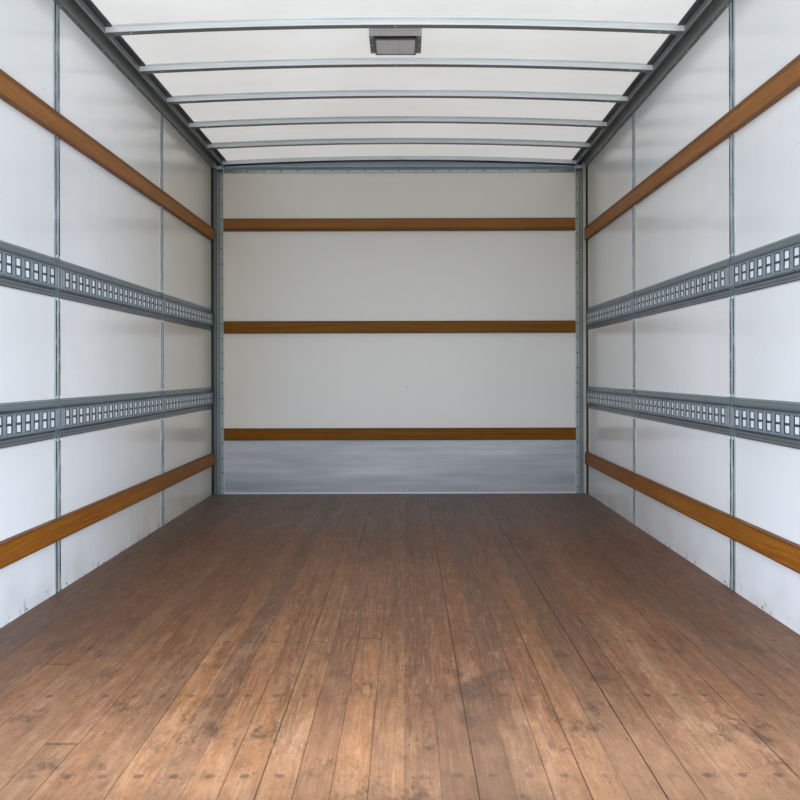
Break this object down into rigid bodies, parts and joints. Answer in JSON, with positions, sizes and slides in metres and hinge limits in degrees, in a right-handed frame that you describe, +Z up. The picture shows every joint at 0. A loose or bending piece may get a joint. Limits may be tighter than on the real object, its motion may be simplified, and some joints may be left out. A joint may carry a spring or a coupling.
{
  "type": "box truck cargo body",
  "caption": "Empty cargo body of a box truck: white walls with slotted tie-down tracks and wood rub rails, plank floor, crowned roof on bows and hinged rear doors folded open.",
  "frame": {"origin": "middle of the body on the plane the sills stand on", "axes": "+Y forward to the front wall, +X to the vehicle's right-hand side, +Z up"},
  "size_m": [2.664, 4.932, 2.4],
  "materials": {
    "wall_white": "smooth white laminate, lightly scratched",
    "door_white": "smooth white laminate",
    "roof_translucent": "translucent white sheet",
    "rail_white": "satin white paint",
    "frame_white": "satin white paint",
    "trim_grey": "satin pale grey",
    "corner_aluminium": "satin",
    "door_aluminium": "satin extrusion",
    "galvanised": "dull galvanised",
    "hardware_zinc": "zinc plated",
    "housing_metal": "satin grey",
    "chassis_black": "satin black",
    "floor_wood": "worn hardwood planks",
    "slat_wood": "varnished hardwood",
    "gasket_black": "matt",
    "lens_clear": "clear ribbed lens",
    "lamp_red": "red lens"
  },
  "bodies": {
    "box": {"bottom_rail_left": "rail_white", "bottom_rail_right": "rail_white", "crossmembers": "chassis_black", "dome_light_housing": "housing_metal", "dome_light_lens": "lens_clear", "floor_planks": "floor_wood", "front_bottom_rail": "rail_white", "front_corner_left": "corner_aluminium", "front_corner_right": "corner_aluminium", "front_header": "trim_grey", "front_panel": "wall_white", "front_slats": "slat_wood", "front_top_rail": "rail_white", "hinge_lugs_left": "frame_white", "hinge_lugs_right": "frame_white", "inner_corner_left": "trim_grey", "inner_corner_right": "trim_grey", "marker_lamps": "lamp_red", "rear_header": "frame_white", "rear_post_left": "frame_white", "rear_post_right": "frame_white", "rear_sill": "frame_white", "roof_bows": "galvanised", "roof_skin": "roof_translucent", "scuff_plate": "galvanised", "side_panel_1_left": "wall_white", "side_panel_1_right": "wall_white", "side_panel_2_left": "wall_white", "side_panel_2_right": "wall_white", "side_panel_3_left": "wall_white", "side_panel_3_right": "wall_white", "side_panel_4_left": "wall_white", "side_panel_4_right": "wall_white", "side_slats_left": "slat_wood", "side_slats_right": "slat_wood", "sill_left": "chassis_black", "sill_right": "chassis_black", "tail_lamps": "lamp_red", "top_corner_left": "corner_aluminium", "top_corner_right": "corner_aluminium", "top_rail_left": "rail_white", "top_rail_right": "rail_white", "tracks_left": "galvanised", "tracks_right": "galvanised", "wall_posts_left": "galvanised", "wall_posts_right": "galvanised"},
    "door_left": {"door_frame_left": "door_aluminium", "door_gasket_left": "gasket_black", "door_panel_left": "door_white", "hinge_straps_left": "hardware_zinc", "lock_rod_left": "hardware_zinc", "rod_guides_left": "hardware_zinc"},
    "door_right": {"door_frame_right": "door_aluminium", "door_gasket_right": "gasket_black", "door_panel_right": "door_white", "hinge_straps_right": "hardware_zinc", "lock_rod_right": "hardware_zinc", "rod_guides_right": "hardware_zinc"}
  },
  "joints": [
    {"name": "door_left_hinge", "type": "hinge", "parent": "box", "child": "door_left", "pos_m": [-1.279, -2.454, 1.25], "axis": [0, 0, 1], "range_deg": [0, 270]},
    {"name": "door_right_hinge", "type": "hinge", "parent": "box", "child": "door_right", "pos_m": [1.279, -2.454, 1.25], "axis": [0, 0, 1], "range_deg": [-270, 0]}
  ]
}
